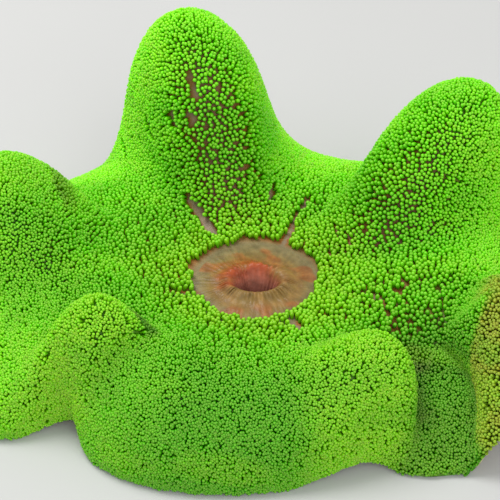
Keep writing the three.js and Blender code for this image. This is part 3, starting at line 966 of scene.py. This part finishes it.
def skin_finish():
    """Moist flesh: its colour from the skin, with fine grain, pores and soft wrinkles."""
    made, add, finish = material("anemone_skin")
    tint = add("ShaderNodeAttribute", attribute_name="tint").outputs["Color"]
    place = add("ShaderNodeTexCoord").outputs["Object"]
    cloud = add("ShaderNodeTexNoise", {"Vector": place, "Scale": 220.0, "Detail": 4.0}).outputs["Fac"]
    shade = add(
        "ShaderNodeMapRange",
        {"Value": cloud, "From Min": 0.3, "From Max": 0.7, "To Min": 0.78, "To Max": 1.14},
    )
    pores = add("ShaderNodeTexVoronoi", {"Vector": place, "Scale": 900.0})
    grain = add("ShaderNodeTexNoise", {"Vector": place, "Scale": 1500.0, "Detail": 3.0})
    height = add("ShaderNodeMath", {0: pores.outputs["Distance"], 1: grain.outputs["Fac"]})
    relief = {"Strength": 0.35, "Distance": 0.0003, "Height": height.outputs["Value"]}
    wet = add("ShaderNodeMapRange", {"Value": cloud, "To Min": 0.28, "To Max": 0.5})
    looks = {
        "Base Color": mixed(add, 1.0, tint, shade.outputs["Result"], blend_type="MULTIPLY"),
        "Normal": add("ShaderNodeBump", relief).outputs["Normal"],
        "Roughness": wet.outputs["Result"],
        "Subsurface Weight": 0.1,
        "Subsurface Radius": (1.0, 0.5, 0.3),
        "Subsurface Scale": 0.003,
        "IOR": FLESH_IOR,
        "Specular IOR Level": 0.35,
    }
    finish(looks)
    return made


def floor_finish():
    """A pale grey floor with faint clouds."""
    made, add, finish = material("floor")
    place = add("ShaderNodeTexCoord").outputs["Object"]
    cloud = add("ShaderNodeTexNoise", {"Vector": place, "Scale": 3.0, "Detail": 3.0})
    finish({"Base Color": mixed(add, cloud.outputs["Fac"], *FLOOR_GREYS), "Roughness": 0.75})
    return made


# ---- the skin piece ----
skin = add_object("anemone_skin", skin_mesh())
skin.data.materials.append(skin_finish())
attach(skin, "root")
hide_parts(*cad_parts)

# ---- the coat ----
# Shapes of tentacle: sides, and rings of height and radius. The first two are for wide ones.
BEADS = {
    "Round bead": (7, ((0.0, 0.36), (0.5, 0.43), (0.76, 0.48), (0.93, 0.32))),
    "Plump bead": (7, ((0.0, 0.34), (0.44, 0.45), (0.74, 0.52), (0.92, 0.36))),
    "Middle bead": (6, ((0.0, 0.43), (0.74, 0.5), (0.93, 0.36))),
    "Small bead": (5, ((0.0, 0.46), (0.79, 0.54), (0.94, 0.42))),
}
WIDE, NARROW = 2.2, 1.8  # a tentacle this wide is a wide one, and below this it is a small one


def grows(maker, u, s, place):
    """True where a tentacle grows: not on the streaks, and with gaps in the valleys."""
    thin = 0.5 + 0.5 * wander(place, 6, 13)
    gaps = near_profile(u, 7.1, 0.8) + near_profile(u, 10.1, 0.8) + near_profile(u, 12, 0.6)
    gaps = np.clip(gaps, 0, 1) * smoothstep(s, 0.5, 0.65)
    middle = band(s, 0.1, 0.3, 0.45, 0.6)
    gaps += (0.6 * near_profile(u, 3.1, 0.9) + 1.5 * near_profile(u, 11.9, 1.1)) * middle
    edge = mix(-0.055, 0.025, smoothstep(place[:, 1], -24, 16)) + 0.014 * wander(place, 22, 17)
    return (
        (maker.random(len(u)) > 0.18 * gaps * smoothstep(thin, 0.4, 0.8))
        & (s > edge)
        & (place[:, 2] > 0.6)
        & (streaks_at(place, 0.7) < 0.5)
    )


def tentacle_size(maker, u, s):
    """Width and length of each tentacle: as long as the crease leaves room for, and fuller
    towards the front margin."""
    full = mix(COAT_INNER, COAT_MARGIN, np.clip(s, 0, 1))
    room = np.maximum(on_grid(COAT_GRID, u, s), 0.5 * full)
    length = room * maker.uniform(0.8, 0.98, len(u)) * (1 - 0.3 * smoothstep(s, 0.97, 1))
    length *= mix(0.75, 1, smoothstep(s, -0.05, 0.03))
    fuller = mix(0.07, 0.18, front_share(u)) * smoothstep(s, 0.45, 0.65)
    fuller += 0.14 * front_share(u) * smoothstep(s, 0.62, 0.85)
    width = spacing(u, s) * maker.uniform(1.2, 1.36, len(u)) * (1 + fuller)
    width *= 1 - 0.05 * band(s, 0.08, 0.2, 0.45, 0.65) * back_share(u)
    return width, length


def tentacles():
    """The profile nearest to each tentacle, and what its copy needs."""
    u, s = relax(*scatter())
    place, normal = coat_place(u, s)
    maker = np.random.default_rng(7)
    keep = grows(maker, u, s, place)
    u, s, place, normal = u[keep], s[keep], place[keep], normal[keep]
    count = len(u)
    sway = np.stack([wander(place, 14, seed) for seed in (31, 32, 33)], 1)
    aim = unit(normal + 0.16 * sway + 0.1 * maker.normal(size=(count, 3)))
    width, length = tentacle_size(maker, u, s)
    tint = tentacle_colour(u, s, place) * maker.uniform(0.88, 1.1, (count, 1))
    tint = tint * (1 + 0.07 * maker.normal(size=(count, 3)) * [1, 0.3, 1])
    wide = maker.choice(2, count, p=(0.6, 0.4))
    needs = {
        "roots": place - SUNK * aim,
        "aim": aim,
        "size": np.stack([width, width, length + SUNK], 1),
        "tint": np.clip(tint, 0.002, 0.95),
        "kind": np.where(width > WIDE, wide, 2 + (width < NARROW)),
        "spin": maker.uniform(0, TURN, count),
        "root_map": polar_map(u, s),
    }
    print("tentacles:", count)
    return np.floor(u + 0.5).astype(int) % COUNT, needs


def inside_box(mesh):
    """Keeps a finished mesh inside the solids' box."""
    points = np.empty(len(mesh.vertices) * 3, np.float32)
    mesh.vertices.foreach_get("co", points)
    points = to_box(points.reshape(-1, 3))
    mesh.vertices.foreach_set("co", points.astype(np.float32).ravel())
    mesh.update()


def coat_pieces():
    """One piece of coat for each fold or lobe."""
    shapes = {
        label: bead(label.lower().replace(" ", "_"), sides, rings)
        for label, (sides, rings) in BEADS.items()
    }
    tree = copies_tree("Tentacle coat", list(shapes))
    green = tentacle_finish("green_tentacles", 0.3)
    olive = tentacle_finish("olive_tentacles", 0.38)
    sector, needs = tentacles()
    for index, name in enumerate(NAMES):
        own = {key: values[sector == index] for key, values in needs.items()}
        finish = olive if name == "fold_right" else green
        roots = points_object("roots_" + name, **own)
        piece = tree.run(roots, "tentacles_" + name, {"Finish": finish, **shapes})
        inside_box(piece.data)
        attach(piece, "root")
        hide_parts(name)
    for shape in shapes.values():
        bpy.data.objects.remove(shape)


coat_pieces()


# ---- warts under the margin ----
def wart_piece():
    """Rows of round warts down the ridges of the underside."""
    dome = bead("wart", 8, ((0.0, 0.5), (0.45, 0.44), (0.8, 0.28)))
    tree = copies_tree("Warts", ["Dome"])
    maker = np.random.default_rng(11)
    lines = np.arange(RIDGES) * COUNT / RIDGES
    shares = np.linspace(0.97, 0.42, 17)
    u, s = [grid.ravel() for grid in np.meshgrid(lines, shares, indexing="ij")]
    u = u + 0.012 * maker.normal(size=len(u))
    s = s + 0.008 * maker.normal(size=len(s))
    keep = maker.random(len(s)) < smoothstep(s, 0.3, 0.85)
    u, s = u[keep], s[keep]
    place = underside(u, s)
    normal, _, _, _ = skin_bends(u, s)
    high = place[:, 2] > 1.2
    u, s, place, normal = u[high], s[high], place[high], normal[high]
    count = len(u)
    width = maker.uniform(1.5, 2.4, count) * mix(0.7, 1, smoothstep(s, 0.4, 0.8))
    size = np.stack([width, width, 0.5 * width], 1)
    tint = np.broadcast_to(WART_CREAM, place.shape)
    tint = blend(tint, (WART_ROSE, mix(0.35, 0.95, maker.random(count))))
    roots = points_object(
        "roots_warts",
        place + 0.15 * normal,
        -normal,
        size,
        tint,
        np.zeros(count),
        maker.uniform(0, TURN, count),
        polar_map(u, s),
    )
    finish = skin_finish()
    finish.name = "wart_skin"
    piece = tree.run(roots, "warts", {"Finish": finish, "Dome": dome})
    bpy.data.objects.remove(dome)
    inside_box(piece.data)
    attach(piece, "root")


wart_piece()


# ---- floor, light and camera ----
FLOOR_SIZE, SKY_STRENGTH = 6, 0.62
LIGHT_TARGET = np.array([0.0, 0.0, 0.05])
LIGHTS = (  # name, place, power in watts and width
    ("key", (-0.5, 0.4, 1.3), 15.0, 0.7),
    ("fill", (0.5, -1.0, 1.0), 8.0, 1.2),
)
CAMERA_PLACE, CAMERA_TILT = (-0.003005, -0.52428, 0.53765), math.radians(48)
SENSOR_WIDTH, LENS = 36, 103.68  # in millimetres
CLIP_NEAR, CLIP_FAR = 0.01, 20


def floor_and_light():
    """A wide plain floor, an even sky and two soft lamps."""
    bpy.ops.mesh.primitive_plane_add(size=FLOOR_SIZE)
    floor = bpy.context.object
    floor.name = "floor"
    floor.data.materials.append(floor_finish())
    world = bpy.data.worlds.new("studio")
    world.use_nodes = True
    sky = world.node_tree.nodes["Background"].inputs
    sky["Color"].default_value = (1, 1, 1, 1)
    sky["Strength"].default_value = SKY_STRENGTH
    bpy.context.scene.world = world
    for name, place, power, size in LIGHTS:
        data = bpy.data.lights.new(name, "AREA")
        data.energy, data.size = power, size
        light = add_object(name, data)
        light.location = place
        x, y, z = LIGHT_TARGET - np.array(place)
        light.rotation_euler = (math.atan2(math.hypot(x, y), -z), 0, math.atan2(y, x) - math.pi / 2)


def camera():
    """The camera, in front of the anemone and above it."""
    data = bpy.data.cameras.new("camera")
    data.sensor_width, data.lens = SENSOR_WIDTH, LENS
    data.clip_start, data.clip_end = CLIP_NEAR, CLIP_FAR
    eye = add_object("camera", data)
    eye.location = CAMERA_PLACE
    eye.rotation_euler = (CAMERA_TILT, 0, 0)
    bpy.context.scene.camera = eye
    bpy.context.scene.view_settings.view_transform = "Standard"


floor_and_light()
camera()
